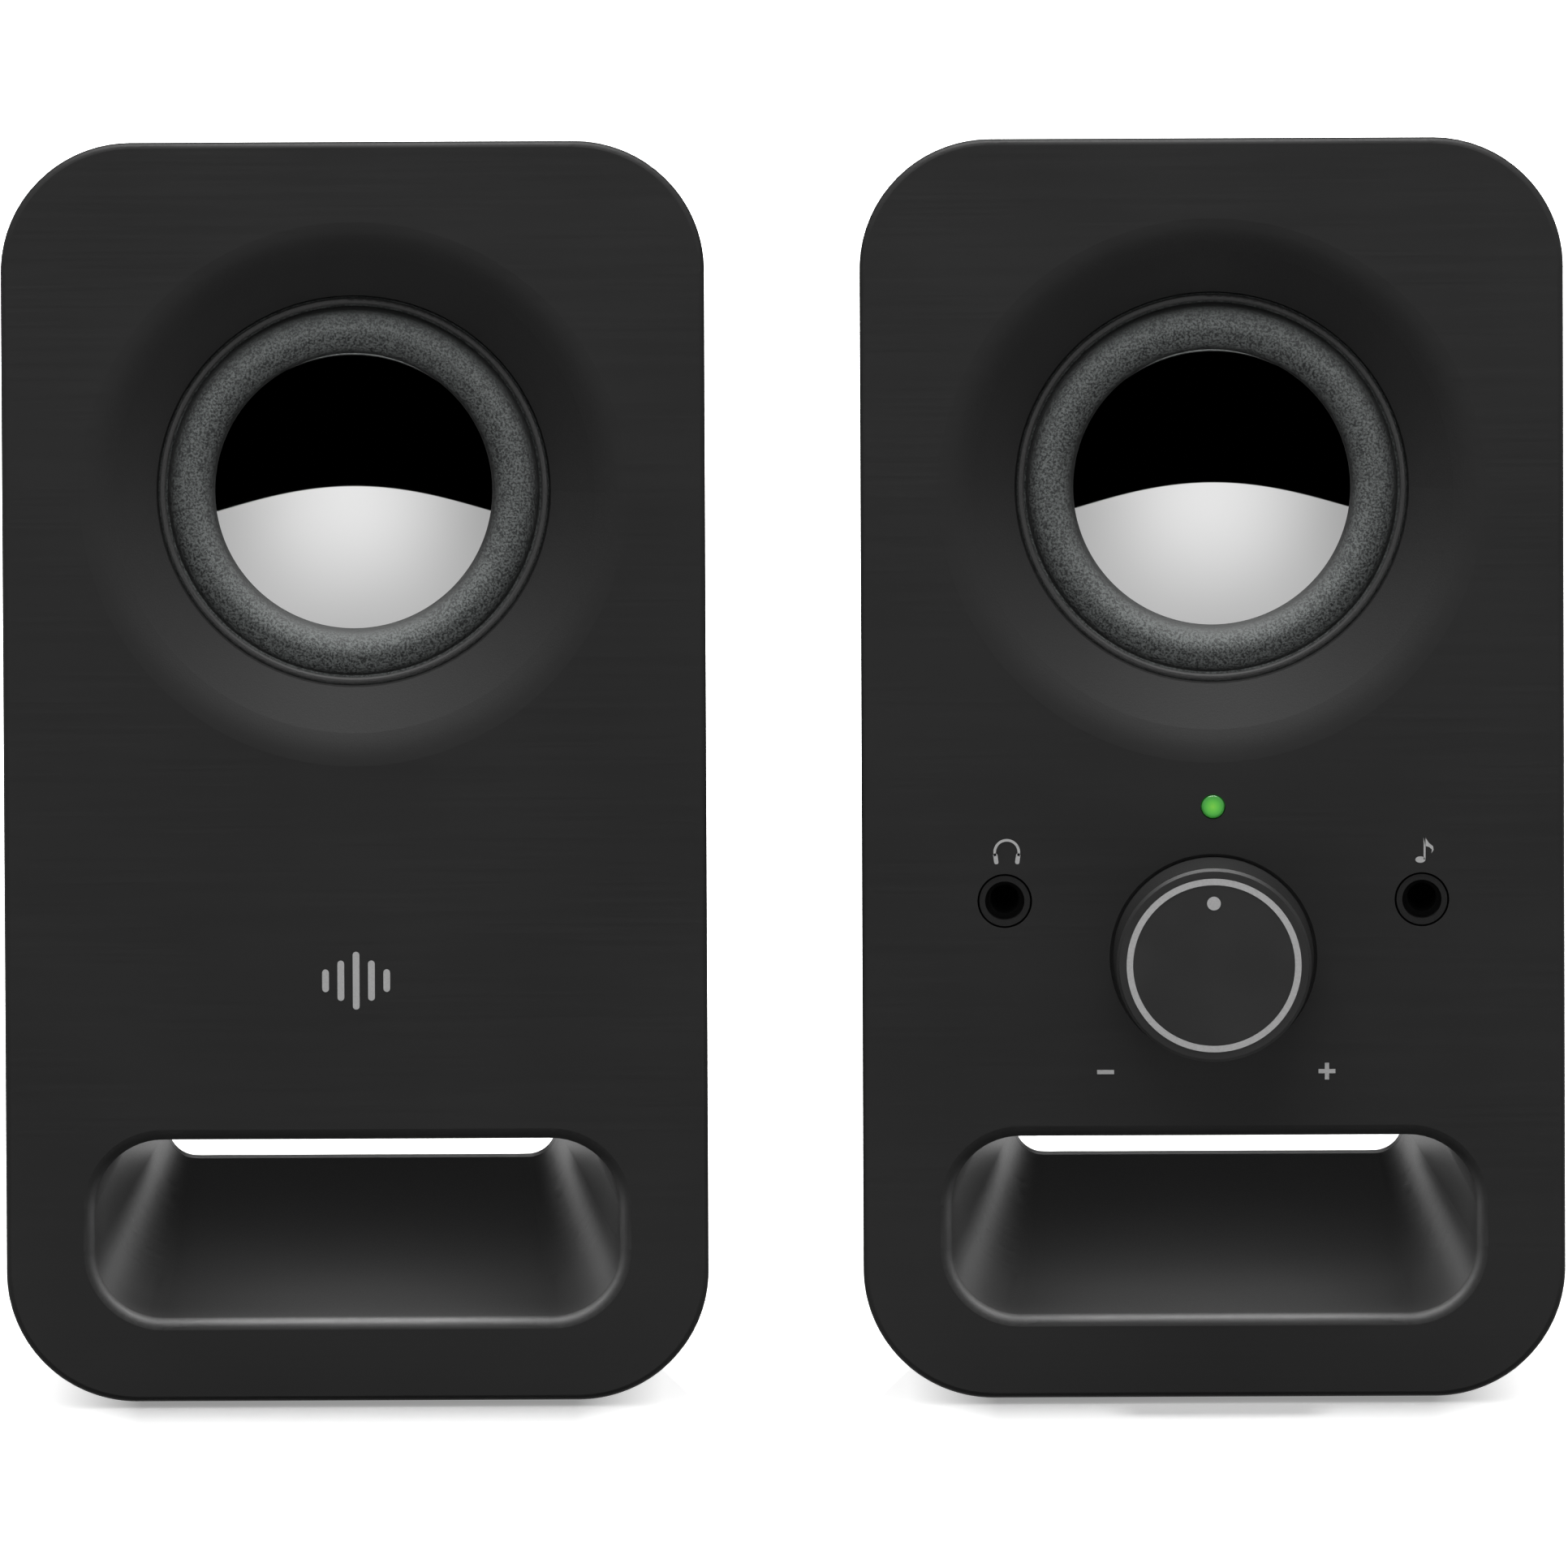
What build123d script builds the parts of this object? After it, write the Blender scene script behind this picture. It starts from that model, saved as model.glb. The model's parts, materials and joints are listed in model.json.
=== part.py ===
"""A pair of desktop speakers: a right speaker with the amplifier and controls, and a left satellite.

Frame: millimetres, +X to the right, +Y to the back, +Z up. The origin is the centre of the pair's
footprint on the desk. Each speaker is built about its own middle plane, with its front face at depth 0
and depth growing towards the back, and is then set in its place.
"""

import os
from math import cos, radians, sin, sqrt, tan

from build123d import *

# ---------------------------------------------------------------- driving dimensions
SPEAKER_WIDTH = 87.5
SPEAKER_TOP = 158.35
SHELL_DEPTH = 78.0
CENTRE_SPACING = 106.5
KNOB_PROUD = 8.5
WALL = 2.4
FOOT_PROUD = 0.8
FOOT_R = 5.0
FOOT_SUNK = 0.8

# front and back outlines of the tapered cabinet
FRONT_CORNER = 16.2
BACK_WIDTH = 64.0
BACK_TOP = 146.0
BACK_CORNER = 12.5
FACE_WALL = 2.6
FACE_EDGE_ROUND = 0.7
BACK_EDGE_ROUND = 5.0
PARTING_DEPTH = 24.0
PARTING_GAP = 0.5
TONGUE_LENGTH = 3.0
TONGUE_WALL = 1.1
FIT_GAP = 0.1

# passage through the foot of each cabinet: (half width, floor, ceiling, corner radius)
MOUTH = (32.8, 11.0, 33.45, 8.6)
OUTLET = (24.3, 21.8, 36.8, 3.6)
DUCT_WALL = 2.0
MOUTH_ROUND = 1.4
OUTLET_ROUND = 0.8

# loudspeaker driver, about its own axis
DRIVER_Z = 114.3
OPENING_R = 24.5
RECESS_R = 34.0
RECESS_BLEND_R = 10.0
RECESS_SLOPE = 24.0
SEAT_DEPTH = 5.0
SEAT_DISC_R = 35.0
FLANGE_R = 27.3
EAR_PITCH_R = 29.6
EAR_R = 3.6
DISH_R = 17.2
DISH_SPHERE_R = 26.0
DISH_RIM_DEPTH = 4.2
DISH_THICKNESS = 0.5
ROLL_R = 2.85
ROLL_HEIGHT = 2.2
ROLL_THICKNESS = 0.5
LIP_THICKNESS = 0.9
TRIM_INNER_R = 23.35
TRIM_OUTER_R = 24.1
TRIM_THICKNESS = 0.8
TRIM_ROUND = 0.3
COIL_R = 6.95
FORMER_WALL = 0.3
WINDING_WALL = 0.5

# controls on the right speaker
KNOB_Z = 56.0
KNOB_BASE_R = 12.5
KNOB_FACE_R = 12.1
WELL_R = 12.9
WELL_DEPTH = 1.2
SHAFT_R = 3.0
JACK_X = 25.9
JACK_Z = 63.1
JACK_BORE_R = 1.8
JACK_NOZZLE_R = 3.15
JACK_HOLE_R = 3.4
JACK_MOUTH_R = 2.45
JACK_MOUTH_DEPTH = 2.2
LED_Z = 74.8
PIPE_R = 1.45
BOARD_DEPTH = 17.0
BOARD_THICKNESS = 1.6
BOARD_HALF_WIDTH = 30.0
BOARD_LOW = 49.5
BOARD_HIGH = 80.0

# sockets on the back
REAR_SOCKET_Z = 57.0
REAR_BOARD_DEPTH = 59.0
INLET_X = -7.0
OUTPUT_X = 7.0
INLET_BORE_R = 2.85
INLET_PIN_R = 1.05
INLET_STEM_R = 0.8
INLET_FLOOR = 67.0
LEAD_R = 0.7

# screws that hold each cabinet together, and their posts
UPPER_POST = (22.5, 136.5)
LOWER_POST = (23.5, 44.2)
POST_END = 34.0
POST_R = 3.6
SLEEVE_R = 4.4
ACCESS_R = 3.3
SCREW_SEAT = 40.0
SCREW_R = 1.45
SCREW_HEAD_R = 2.8

FACE_Y = -(SHELL_DEPTH - KNOB_PROUD) / 2
BACK_WALL_IN = SHELL_DEPTH - WALL
BOARD_BACK = BOARD_DEPTH + BOARD_THICKNESS
OVERSHOOT = 1.0


# ---------------------------------------------------------------- shared helpers
def upright(depth):
    """A plane facing the front at a depth: its x is +X and its y is +Z."""
    return Plane(origin=(0, depth, 0), x_dir=(1, 0, 0), z_dir=(0, -1, 0))


def rod(radius, near, far, x=0.0, z=0.0):
    """A round bar along the depth direction."""
    return extrude(upright(far) * Pos(x, z) * Circle(radius), amount=far - near)


def tube(outer, inner, near, far, x=0.0, z=0.0):
    return rod(outer, near, far, x, z) - rod(inner, near - OVERSHOOT, far + OVERSHOOT, x, z)


def block(x0, x1, near, far, z0, z1):
    return Pos((x0 + x1) / 2, (near + far) / 2, (z0 + z1) / 2) * Box(x1 - x0, far - near, z1 - z0)


def turned(points, x=0.0, z=0.0):
    """A closed outline of (radius, depth) points turned about an axis along the depth direction."""
    outline = Polyline(*[(r, d) for r, d in points], close=True)
    return Pos(x, 0, z) * revolve(make_face(outline), Axis.Y)


def turned_lines(lines, x=0.0, z=0.0):
    """The same, from lines and arcs that already close on each other."""
    return Pos(x, 0, z) * revolve(make_face(lines), Axis.Y)


def rounded(half_width, low, high, corner):
    """A rounded rectangle between two heights."""
    return Pos(0, (low + high) / 2) * RectangleRounded(2 * half_width, high - low, corner)


def between(front, back, share):
    return [a + (b - a) * share for a, b in zip(front, back)]


def tapered(front, back, near, far, inset=0.0):
    """A ruled body between two outlines a whole cabinet apart, cut at two depths and drawn in by inset."""
    sketches = []
    for depth in (near, far):
        half, low, high, corner = between(front, back, depth / SHELL_DEPTH)
        outline = rounded(half - inset, low + inset, high - inset, max(corner - inset, 0.5))
        sketches.append(upright(depth) * outline)
    return loft(sketches, ruled=True)


def cabinet(near, far, inset=0.0):
    front = (SPEAKER_WIDTH / 2, FOOT_PROUD, SPEAKER_TOP, FRONT_CORNER)
    back = (BACK_WIDTH / 2, FOOT_PROUD, BACK_TOP, BACK_CORNER)
    return tapered(front, back, near, far, inset)


def duct(near, far, outset=0.0):
    return tapered(MOUTH, OUTLET, near, far, -outset)


def edges_at(shape, depth, keep=lambda edge: True):
    """The edges that lie wholly at one depth."""
    found = []
    for edge in shape.edges():
        box = edge.bounding_box()
        if abs(box.min.Y - depth) < 1e-3 and abs(box.max.Y - depth) < 1e-3 and keep(edge):
            found.append(edge)
    return found


def in_mouth(edge):
    """Is an edge part of the passage's outline, and not of the cabinet's?"""
    box = edge.bounding_box()
    reach = max(abs(box.min.X), abs(box.max.X))
    return reach < MOUTH[0] + 1 and box.min.Z > 5 and box.max.Z < OUTLET[2] + 1


def on_rim(edge):
    """Is an edge part of the cabinet's outline?"""
    box = edge.bounding_box()
    low, high = box.min.Z < FOOT_PROUD + 0.1, box.max.Z > BACK_TOP - 0.1
    wide = max(abs(box.min.X), abs(box.max.X)) > BACK_WIDTH / 2 - 0.1
    return low or high or wide


def dish_front(radius):
    """Depth of the driver dish's front surface at a radius."""
    apex = DISH_RIM_DEPTH + DISH_SPHERE_R - sqrt(DISH_SPHERE_R**2 - DISH_R**2)
    return apex - DISH_SPHERE_R + sqrt(DISH_SPHERE_R**2 - radius**2)


def posts():
    """Places of the four screw posts in a cabinet."""
    return [(side * x, z) for x, z in (UPPER_POST, LOWER_POST) for side in (-1, 1)]


# ---------------------------------------------------------------- cabinet
def recess_cutter():
    """The shallow funnel in the face that runs down to the driver's opening."""
    slope = radians(RECESS_SLOPE)
    blend_depth = RECESS_BLEND_R * (1 - cos(slope))
    knee_r = RECESS_R - RECESS_BLEND_R * sin(slope)
    foot_depth = blend_depth + (knee_r - OPENING_R) * tan(slope)
    middle = (
        RECESS_R - RECESS_BLEND_R * sin(slope / 2),
        RECESS_BLEND_R * (1 - cos(slope / 2)),
    )
    lines = [
        Line((0, -OVERSHOOT), (RECESS_R, -OVERSHOOT)),
        Line((RECESS_R, -OVERSHOOT), (RECESS_R, 0)),
        ThreePointArc((RECESS_R, 0), middle, (knee_r, blend_depth)),
        Line((knee_r, blend_depth), (OPENING_R, foot_depth)),
        Line((OPENING_R, foot_depth), (OPENING_R, SEAT_DEPTH + OVERSHOOT)),
        Line((OPENING_R, SEAT_DEPTH + OVERSHOOT), (0, SEAT_DEPTH + OVERSHOOT)),
        Line((0, SEAT_DEPTH + OVERSHOOT), (0, -OVERSHOOT)),
    ]
    return turned_lines(lines, z=DRIVER_Z)


def ear_places():
    return [(EAR_PITCH_R, 0), (-EAR_PITCH_R, 0), (0, EAR_PITCH_R), (0, -EAR_PITCH_R)]


def foot_places():
    """(x, depth) of the four feet, kept on the flat part of the underside."""
    return [(side * x, depth) for x, depth in ((20.0, 12.0), (14.5, 65.0)) for side in (-1, 1)]


def front_shell(controls):
    """Face, side band and the whole passage in one moulding."""
    split = PARTING_DEPTH - PARTING_GAP / 2
    body = cabinet(0, split) - cabinet(FACE_WALL, split + OVERSHOOT, WALL)
    tongue = cabinet(split - 4, PARTING_DEPTH + TONGUE_LENGTH, WALL - TONGUE_WALL)
    tongue -= cabinet(split - 5, PARTING_DEPTH + TONGUE_LENGTH + OVERSHOOT, WALL)
    seat = rod(SEAT_DISC_R, 1.0, SEAT_DEPTH, z=DRIVER_Z)
    sleeve = duct(0.5, BACK_WALL_IN - FIT_GAP, DUCT_WALL)
    body = body + tongue + seat + sleeve
    for x, z in posts():
        body += rod(POST_R, 1.0, POST_END, x, z)
    if controls:
        for x, z in board_post_places():
            body += rod(2.8, 1.0, BOARD_DEPTH, x, z)
    body -= duct(-OVERSHOOT, SHELL_DEPTH)
    body -= recess_cutter()
    for x, z in ear_places():
        body -= rod(1.1, SEAT_DEPTH - 3.2, SEAT_DEPTH + OVERSHOOT, x, DRIVER_Z + z)
    for x, z in posts():
        body -= rod(SCREW_R + 0.05, POST_END - 14, POST_END + OVERSHOOT, x, z)
    for x, depth in foot_places():
        if depth < PARTING_DEPTH:
            body -= foot_pocket(x, depth)
    if controls:
        body -= rod(WELL_R, -OVERSHOOT, WELL_DEPTH, z=KNOB_Z)
        body -= rod(3.7, 0, 4, z=KNOB_Z)
        body -= rod(PIPE_R + 0.1, -OVERSHOOT, 4, z=LED_Z)
        for side in (-1, 1):
            body -= rod(JACK_HOLE_R, -OVERSHOOT, 4, side * JACK_X, JACK_Z)
        for x, z in board_post_places():
            body -= rod(1.05, BOARD_DEPTH - 8, BOARD_DEPTH + OVERSHOOT, x, z)
    body = fillet(edges_at(body, 0, in_mouth), MOUTH_ROUND)
    return fillet(edges_at(body, 0, on_rim), FACE_EDGE_ROUND)


def rear_shell(sockets):
    """The tapered back of the cabinet, with its screw sleeves and the passage's outlet."""
    split = PARTING_DEPTH + PARTING_GAP / 2
    body = cabinet(split, SHELL_DEPTH)
    body = fillet(edges_at(body, SHELL_DEPTH, on_rim), BACK_EDGE_ROUND)
    body -= cabinet(split - OVERSHOOT, BACK_WALL_IN, WALL)
    body -= cabinet(
        split - OVERSHOOT, PARTING_DEPTH + TONGUE_LENGTH + 2 * FIT_GAP, WALL - TONGUE_WALL - FIT_GAP
    )
    for x, z in posts():
        body += rod(SLEEVE_R, POST_END + FIT_GAP, BACK_WALL_IN + 1, x, z)
    for x, z in rear_post_places():
        body += rod(2.6, REAR_BOARD_DEPTH + BOARD_THICKNESS, BACK_WALL_IN + 1, x, z)
    body -= duct(PARTING_DEPTH, BACK_WALL_IN, DUCT_WALL + 2 * FIT_GAP)
    body -= duct(BACK_WALL_IN - OVERSHOOT, SHELL_DEPTH + OVERSHOOT)
    for x, z in posts():
        body -= rod(ACCESS_R, SCREW_SEAT, SHELL_DEPTH + OVERSHOOT, x, z)
        body -= rod(1.7, POST_END - OVERSHOOT, SCREW_SEAT + OVERSHOOT, x, z)
    for x, z in rear_post_places():
        near = REAR_BOARD_DEPTH
        body -= rod(1.05, near, near + BOARD_THICKNESS + 7, x, z)
    for x, radius in sockets:
        body -= rod(radius, BACK_WALL_IN - OVERSHOOT, SHELL_DEPTH + OVERSHOOT, x, REAR_SOCKET_Z)
    for x, depth in foot_places():
        if depth > PARTING_DEPTH:
            body -= foot_pocket(x, depth)
    return fillet(edges_at(body, SHELL_DEPTH, in_mouth), OUTLET_ROUND)


def foot_pocket(x, depth):
    return Pos(x, depth, FOOT_PROUD) * Cylinder(FOOT_R + FIT_GAP, 2 * FOOT_SUNK)


def feet():
    """Four rubber pads set in pockets in the underside."""
    pads = []
    for x, depth in foot_places():
        pad = Pos(x, depth, (FOOT_PROUD + FOOT_SUNK) / 2) * Cylinder(FOOT_R, FOOT_PROUD + FOOT_SUNK)
        pads.append(chamfer(pad.faces().sort_by(Axis.Z)[0].edges(), 0.3))
    return pads


def screw(head_r, head_height, shank_r, seat, length, x, z, toward_back=True):
    """A pan-head screw whose head rests at a depth and whose shank runs away from the head."""
    way = 1 if toward_back else -1
    head_near, head_far = sorted((seat, seat + way * head_height))
    shank_near, shank_far = sorted((seat, seat - way * length))
    body = rod(head_r, head_near, head_far, x, z) + rod(shank_r, shank_near, shank_far, x, z)
    outer = head_far if toward_back else head_near
    body = fillet(edges_at(body, outer), head_height * 0.4)
    slot_depth = head_height * 0.45
    near, far = sorted((outer - way * slot_depth, outer + way * OVERSHOOT))
    reach, half = head_r * 0.62, head_r * 0.15
    body -= block(x - reach, x + reach, near, far, z - half, z + half)
    return body - block(x - half, x + half, near, far, z - reach, z + reach)


def shell_screws():
    return [
        screw(SCREW_HEAD_R, 2.2, SCREW_R, SCREW_SEAT, 18, x, z)
        for x, z in posts()
    ]


# ---------------------------------------------------------------- loudspeaker driver
def driver_basket():
    """Pressed steel frame: flange with four ears, window cone, spider ledge and back plate."""
    t = 1.0
    shell = turned(
        [
            (22.6, 5.0), (FLANGE_R, 5.0), (FLANGE_R, 6.0), (25.3, 6.0), (25.3, 9.0),
            (20.9, 15.4 + t), (16.2, 15.4 + t), (15.4, 18.3), (8.6, 18.3), (8.6, 17.3),
            (14.6, 17.3), (15.4, 15.4), (20.2, 15.4), (24.3, 8.7), (24.3, 6.0), (22.6, 6.0),
        ],
        z=DRIVER_Z,
    )
    for x, z in ear_places():
        shell += rod(EAR_R, 5.0, 6.0, x, DRIVER_Z + z) - rod(25.5, 4, 7, z=DRIVER_Z)
    for x, z in ear_places():
        shell -= rod(1.5, 4, 7, x, DRIVER_Z + z)
    window = block(-6.5, 6.5, 9.6, 14.6, 17.5, 30)
    for turn in (45, 135, 225, 315):
        shell -= Pos(0, 0, DRIVER_Z) * Rot(0, turn, 0) * window
    return shell


def driver_screws():
    return [
        screw(2.2, 1.6, 1.0, 6.0, 4.0, x, DRIVER_Z + z)
        for x, z in ear_places()
    ]


def driver_top_plate():
    return tube(14.5, 8.2, 18.3, 21.3, z=DRIVER_Z)


def driver_magnet():
    ring = tube(16.0, 9.8, 21.3, 30.0, z=DRIVER_Z)
    outer = [e for e in ring.edges() if e.bounding_box().size.X > 31]
    return chamfer(outer, 0.6)


def driver_yoke():
    """Back plate with the pole piece that stands in the voice coil."""
    return rod(15.0, 30.0, 33.0, z=DRIVER_Z) + rod(6.6, 18.3, 31.0, z=DRIVER_Z)


def driver_cone():
    """One-piece polished dish with a narrow gluing flange."""
    inner_r = DISH_SPHERE_R + DISH_THICKNESS
    apex = dish_front(0)
    centre = apex - DISH_SPHERE_R
    back_rim = sqrt(inner_r**2 - (DISH_RIM_DEPTH + 0.4 - centre) ** 2)
    mid_front = (DISH_R / 2, dish_front(DISH_R / 2))
    mid_back = (back_rim / 2, centre + sqrt(inner_r**2 - (back_rim / 2) ** 2))
    flange_r = DISH_R + 1.1
    lines = [
        ThreePointArc((0, apex), mid_front, (DISH_R, DISH_RIM_DEPTH)),
        Line((DISH_R, DISH_RIM_DEPTH), (flange_r, DISH_RIM_DEPTH)),
        Line((flange_r, DISH_RIM_DEPTH), (flange_r, DISH_RIM_DEPTH + 0.4)),
        Line((flange_r, DISH_RIM_DEPTH + 0.4), (back_rim, DISH_RIM_DEPTH + 0.4)),
        ThreePointArc((back_rim, DISH_RIM_DEPTH + 0.4), mid_back, (0, apex + DISH_THICKNESS)),
        Line((0, apex + DISH_THICKNESS), (0, apex)),
    ]
    return turned_lines(lines, z=DRIVER_Z)


def former_near():
    """Depth where the voice coil's tube meets the back of the dish."""
    inner_r = DISH_SPHERE_R + DISH_THICKNESS
    return dish_front(0) - DISH_SPHERE_R + sqrt(inner_r**2 - COIL_R**2) + 0.02


def voice_coil_former():
    return tube(COIL_R + FORMER_WALL, COIL_R, former_near(), 22.5, z=DRIVER_Z)


def voice_coil_winding():
    inner = COIL_R + FORMER_WALL
    return tube(inner + WINDING_WALL, inner, 17.6, 22.2, z=DRIVER_Z)


def spider():
    """Corrugated disc that centres the coil, glued to the basket's ledge."""
    inner, outer, rings, height, sheet = COIL_R + FORMER_WALL + 0.05, 18.4, 5, 0.9, 0.35
    ledge = 15.4
    pitch = (14.6 - inner) / (2 * rings)
    front = [(inner + pitch * k, ledge - sheet - (height if k % 2 else 0)) for k in range(2 * rings + 1)]
    front.append((outer, ledge - sheet))
    back = [(r, d + sheet) for r, d in reversed(front)]
    return turned(front + back, z=DRIVER_Z)


def surround():
    """Half-roll edge between the dish and the basket, with a flat outer lip."""
    roll_centre = DISH_R + 0.15 + ROLL_R
    base = DISH_RIM_DEPTH
    roll_out = roll_centre + ROLL_R
    inner_r = ROLL_R - ROLL_THICKNESS
    lip_front = SEAT_DEPTH - LIP_THICKNESS
    lip_r = OPENING_R - 0.2
    front = base - ROLL_THICKNESS
    lines = [
        Line((roll_centre - ROLL_R, base), (roll_centre - ROLL_R, front)),
        EllipticalCenterArc((roll_centre, front), ROLL_R, ROLL_HEIGHT, start_angle=180, arc_size=180),
        Line((roll_out, front), (roll_out, lip_front)),
        Line((roll_out, lip_front), (lip_r, lip_front)),
        Line((lip_r, lip_front), (lip_r, SEAT_DEPTH)),
        Line((lip_r, SEAT_DEPTH), (roll_out + 0.1, SEAT_DEPTH)),
        Line((roll_out + 0.1, SEAT_DEPTH), (roll_centre + inner_r, base)),
        EllipticalCenterArc((roll_centre, base), inner_r, ROLL_HEIGHT, start_angle=180, arc_size=180),
        Line((roll_centre - inner_r, base), (roll_centre - ROLL_R, base)),
    ]
    return turned_lines(lines, z=DRIVER_Z)


def driver_trim_ring():
    """Thin ring with eased front edges that holds down the outer lip of the surround."""
    back = SEAT_DEPTH - LIP_THICKNESS
    front = back - TRIM_THICKNESS
    ring = tube(TRIM_OUTER_R, TRIM_INNER_R, front, back, z=DRIVER_Z)
    return fillet(edges_at(ring, front), TRIM_ROUND)


def terminal_strip():
    """Small phenolic board on the basket's neck that carries the two solder lugs."""
    return Pos(0, 0, DRIVER_Z) * Rot(0, 45, 0) * block(25.35, 30.5, 8.0, 9.0, -5, 5)


def terminal_lugs():
    lugs = []
    for side in (-1, 1):
        lug = block(27.0, 32.0, 9.0, 9.4, side * 2.6 - 1.1, side * 2.6 + 1.1)
        lugs.append(Pos(0, 0, DRIVER_Z) * Rot(0, 45, 0) * lug)
    return lugs


def wire(points, radii, radius):
    """A round wire along straight runs joined by tangent arcs."""
    path = FilletPolyline(*points, radius=radii)
    start = Plane(origin=path @ 0, z_dir=path % 0)
    return sweep(start * Circle(radius), path=path)


def lug_point(side):
    """Where a wire meets its lug, just behind the lug's face."""
    spot = Pos(0, 0, DRIVER_Z) * Rot(0, 45, 0) * Pos(30.4, 9.5, side * 2.6)
    return spot.position


# ---------------------------------------------------------------- controls and electronics
def board_post_places():
    return [(side * 25.5, z) for z in (53.0, 76.5) for side in (-1, 1)]


def rear_post_places():
    return [(-16.5, REAR_SOCKET_Z), (16.5, REAR_SOCKET_Z)]


def volume_knob():
    """Hollow cap with a hub for the flatted shaft, and grooves for its inlaid markings."""
    back, front, roof = 0.8, -KNOB_PROUD, 2.2
    cap = turned(
        [
            (0, front), (KNOB_FACE_R - 0.35, front), (KNOB_FACE_R, front + 0.35), (KNOB_BASE_R, back),
            (KNOB_BASE_R - 1.6, back), (KNOB_FACE_R - 1.7, front + roof), (5.2, front + roof),
            (5.2, -2.6), (0, -2.6),
        ],
        z=KNOB_Z,
    )
    cap -= knob_shaft_rod(SHAFT_R + 0.03, -KNOB_PROUD + roof, 0)
    for mark in knob_markings(0.0):
        cap -= mark
    return cap


def knob_shaft_rod(radius, near, far):
    """The flatted end of the control's shaft, at a radius."""
    flat = block(-radius, radius, near - 1, far + 1, KNOB_Z + radius * 0.6, KNOB_Z + 2 * radius)
    return rod(radius, near, far, z=KNOB_Z) - flat


def knob_markings(proud=0.05):
    """Pale ring and pointer dot let into the knob's face."""
    near, far = -KNOB_PROUD - proud, -KNOB_PROUD + 0.4
    ring = tube(10.85, 10.05, near, far, z=KNOB_Z)
    dot = rod(0.85, near, far, z=KNOB_Z + 7.75)
    return [ring, dot]


def potentiometer_body():
    """Square case with a hollow for the rotor, and the threaded neck that the shaft turns in."""
    case = block(-5.7, 5.7, 10.5, BOARD_DEPTH, KNOB_Z - 5.7, KNOB_Z + 5.7)
    case += rod(3.4, -1.4, 11.0, z=KNOB_Z)
    case -= rod(4.9, 11.7, 15.6, z=KNOB_Z)
    return case - rod(SHAFT_R + 0.08, -3, 13, z=KNOB_Z)


def potentiometer_shaft():
    """Shaft with its wiper disc, which turns with the knob."""
    flatted = knob_shaft_rod(SHAFT_R, -6.0, -2.0)
    return flatted + rod(SHAFT_R, -2.0, 12.5, z=KNOB_Z) + rod(4.5, 12.2, 15.2, z=KNOB_Z)


def potentiometer_nut():
    hexagon = upright(WELL_DEPTH) * Pos(0, KNOB_Z) * RegularPolygon(5.2, 6)
    return extrude(hexagon, amount=1.8) - rod(3.45, -3, 3, z=KNOB_Z)


def audio_jack(x, z, mouth, seat, towards_front=True):
    """3.5 mm socket: square case, round nozzle, and a blind bore behind a wider mouth."""
    way = 1 if towards_front else -1

    def span(a, b):
        return sorted((mouth + way * a, mouth + way * b))

    length = abs(seat - mouth)
    near, far = span(4.6, length)
    case = block(x - 3.8, x + 3.8, near, far, z - 3.8, z + 3.8)
    case += rod(JACK_NOZZLE_R, *span(0, 5), x, z)
    case -= rod(JACK_BORE_R, *span(-1, length - 1.5), x, z)
    case -= rod(JACK_MOUTH_R, *span(-1, JACK_MOUTH_DEPTH), x, z)
    return case


def headphone_jack():
    return audio_jack(-JACK_X, JACK_Z, 0.15, BOARD_DEPTH)


def aux_input_jack():
    return audio_jack(JACK_X, JACK_Z, 0.15, BOARD_DEPTH)


def socket_to_back(x):
    seat = REAR_BOARD_DEPTH + BOARD_THICKNESS
    return audio_jack(x, REAR_SOCKET_Z, SHELL_DEPTH - 0.3, seat, towards_front=False)


def power_inlet():
    """Barrel socket for the mains adaptor's plug."""
    mouth, z = SHELL_DEPTH - 0.3, REAR_SOCKET_Z
    seat = REAR_BOARD_DEPTH + BOARD_THICKNESS
    case = block(INLET_X - 4.6, INLET_X + 4.6, seat, BACK_WALL_IN - 1, z - 5, z + 5)
    case += rod(4.1, BACK_WALL_IN - 2, mouth, INLET_X, z)
    case -= rod(INLET_BORE_R, INLET_FLOOR, mouth + 1, INLET_X, z)
    return case - rod(INLET_STEM_R, INLET_FLOOR - 2, INLET_FLOOR + 1, INLET_X, z)


def power_inlet_pin():
    tip = SHELL_DEPTH - 1.4
    pin = rod(INLET_PIN_R, INLET_FLOOR, tip, INLET_X, REAR_SOCKET_Z)
    pin = fillet(edges_at(pin, tip), 0.6)
    return pin + rod(INLET_STEM_R, INLET_FLOOR - 2, INLET_FLOOR + 0.5, INLET_X, REAR_SOCKET_Z)


def control_board():
    board = block(-BOARD_HALF_WIDTH, BOARD_HALF_WIDTH, BOARD_DEPTH, BOARD_BACK, BOARD_LOW, BOARD_HIGH)
    for x, z in board_post_places():
        board -= rod(1.2, BOARD_DEPTH - 1, BOARD_BACK + 1, x, z)
    return board


def control_board_screws():
    return [screw(2.0, 1.5, 1.0, BOARD_BACK, 6.5, x, z) for x, z in board_post_places()]


def socket_board():
    far = REAR_BOARD_DEPTH + BOARD_THICKNESS
    board = block(-20, 20, REAR_BOARD_DEPTH, far, 50.0, 64.0)
    for x, z in rear_post_places():
        board -= rod(1.2, REAR_BOARD_DEPTH - 1, far + 1, x, z)
    return board


def socket_board_screws():
    return [
        screw(2.0, 1.5, 1.0, REAR_BOARD_DEPTH, 6.5, x, z, toward_back=False)
        for x, z in rear_post_places()
    ]


def power_led():
    return block(-1.6, 1.6, 15.8, BOARD_DEPTH, LED_Z - 1.1, LED_Z + 1.1)


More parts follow.
